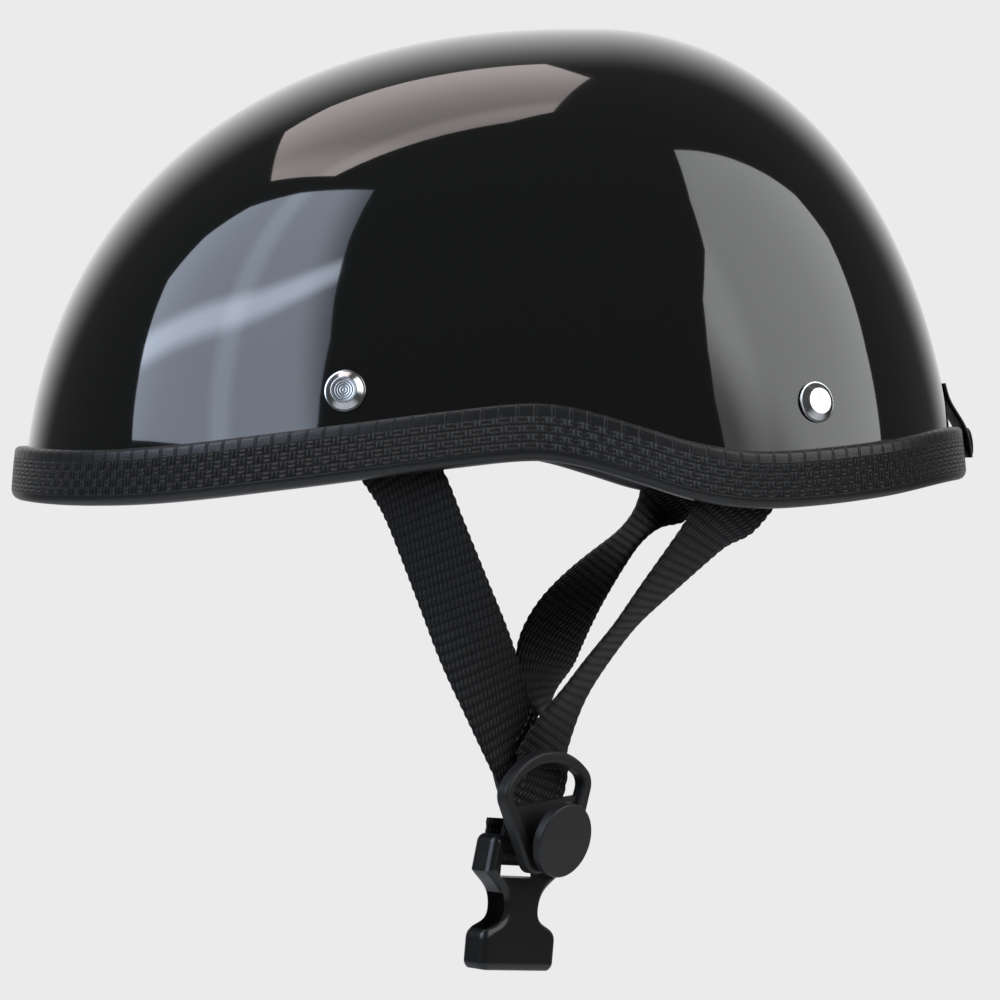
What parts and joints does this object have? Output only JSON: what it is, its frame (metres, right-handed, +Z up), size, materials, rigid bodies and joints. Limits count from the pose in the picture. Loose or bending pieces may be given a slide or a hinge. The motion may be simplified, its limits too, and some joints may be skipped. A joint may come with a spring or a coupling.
{
  "type": "half shell motorcycle helmet",
  "caption": "Open half shell motorcycle helmet with a woven rubber edge trim, riveted webbing straps, strap rings and a side-release buckle.",
  "frame": {"origin": "middle of the head opening, at the lowest level of the edge trim", "axes": "+X to the wearer's front, +Y to the wearer's left, +Z up"},
  "size_m": [0.2856, 0.2228, 0.2665],
  "materials": {
    "shell_gloss": "high gloss black",
    "trim_rubber": "matt, basket weave",
    "liner_foam": "moulded foam",
    "pad_cloth": "brushed cloth",
    "rivet_chrome": "polished",
    "washer_steel": "plain",
    "webbing": "woven nylon",
    "ring_plastic": "satin",
    "button_plastic": "satin",
    "buckle_plastic": "satin with glossy edges",
    "goggle_strap": "smooth synthetic",
    "snap_metal": "blackened"
  },
  "bodies": {
    "helmet": {"shell": "shell_gloss", "edge_trim": "trim_rubber", "foam_liner": "liner_foam", "crown_pad": "pad_cloth", "brow_pad": "pad_cloth", "nape_pad": "pad_cloth", "side_pad_left": "pad_cloth", "side_pad_right": "pad_cloth", "front_rivet_left": "rivet_chrome", "front_rivet_right": "rivet_chrome", "rear_rivet_left": "rivet_chrome", "rear_rivet_right": "rivet_chrome", "front_rivet_washer_left": "washer_steel", "front_rivet_washer_right": "washer_steel", "rear_rivet_washer_left": "washer_steel", "rear_rivet_washer_right": "washer_steel", "front_strap_tab_left": "webbing", "front_strap_tab_right": "webbing", "rear_strap_tab_left": "webbing", "rear_strap_tab_right": "webbing", "goggle_strap_tab": "goggle_strap", "goggle_strap_rivet": "snap_metal", "goggle_snap_stud": "snap_metal"},
    "left_harness": {"front_strap_left": "webbing", "rear_strap_left": "webbing", "chin_loop_left": "webbing", "strap_ring_left": "ring_plastic", "ring_button_left": "button_plastic", "button_washer_left": "washer_steel"},
    "right_harness": {"front_strap_right": "webbing", "rear_strap_right": "webbing", "chin_loop_right": "webbing", "strap_ring_right": "ring_plastic", "ring_button_right": "button_plastic", "button_washer_right": "washer_steel"},
    "socket": {"buckle_socket": "buckle_plastic"},
    "plug": {"buckle_plug": "buckle_plastic"},
    "inner_prong": {"plug_prong_inner": "buckle_plastic"},
    "outer_prong": {"plug_prong_outer": "buckle_plastic"},
    "goggle_flap": {"goggle_strap": "goggle_strap", "goggle_snap_cap": "snap_metal"}
  },
  "joints": [
    {"name": "left_harness_swing", "type": "hinge", "parent": "helmet", "child": "left_harness", "pos_m": [0.0242, 0.09665, 0.00559], "axis": [0.9948, 0.0025, 0.1023], "range_deg": [-35, 80]},
    {"name": "right_harness_swing", "type": "hinge", "parent": "helmet", "child": "right_harness", "pos_m": [0.0242, -0.09665, 0.00559], "axis": [-0.9948, 0.0025, -0.1023], "range_deg": [-35, 80]},
    {"name": "socket_swing", "type": "hinge", "parent": "left_harness", "child": "socket", "pos_m": [-0.0043, 0.09314, -0.09331], "axis": [-0.714, -0.6895, -0.1219], "range_deg": [-10, 50]},
    {"name": "plug_swing", "type": "hinge", "parent": "right_harness", "child": "plug", "pos_m": [-0.01968, -0.0952, -0.0935], "axis": [0.1736, 0.9848, 0], "range_deg": [-10, 50]},
    {"name": "inner_prong_squeeze", "type": "hinge", "parent": "plug", "child": "inner_prong", "pos_m": [-0.01775, -0.08421, -0.10345], "axis": [-0.9848, 0.1736, 0], "range_deg": [0, 8], "stiffness_Nm_per_rad": 0.02},
    {"name": "outer_prong_squeeze", "type": "hinge", "parent": "plug", "child": "outer_prong", "pos_m": [-0.02162, -0.10618, -0.10345], "axis": [0.9848, -0.1736, 0], "range_deg": [0, 8], "stiffness_Nm_per_rad": 0.02},
    {"name": "goggle_flap_lift", "type": "hinge", "parent": "helmet", "child": "goggle_flap", "pos_m": [-0.13642, 0, 0.0305], "axis": [0, 1, 0], "range_deg": [0, 100]}
  ],
  "couplings": [
    {"joint": "outer_prong_squeeze", "follows": "inner_prong_squeeze", "ratio": 1}
  ]
}
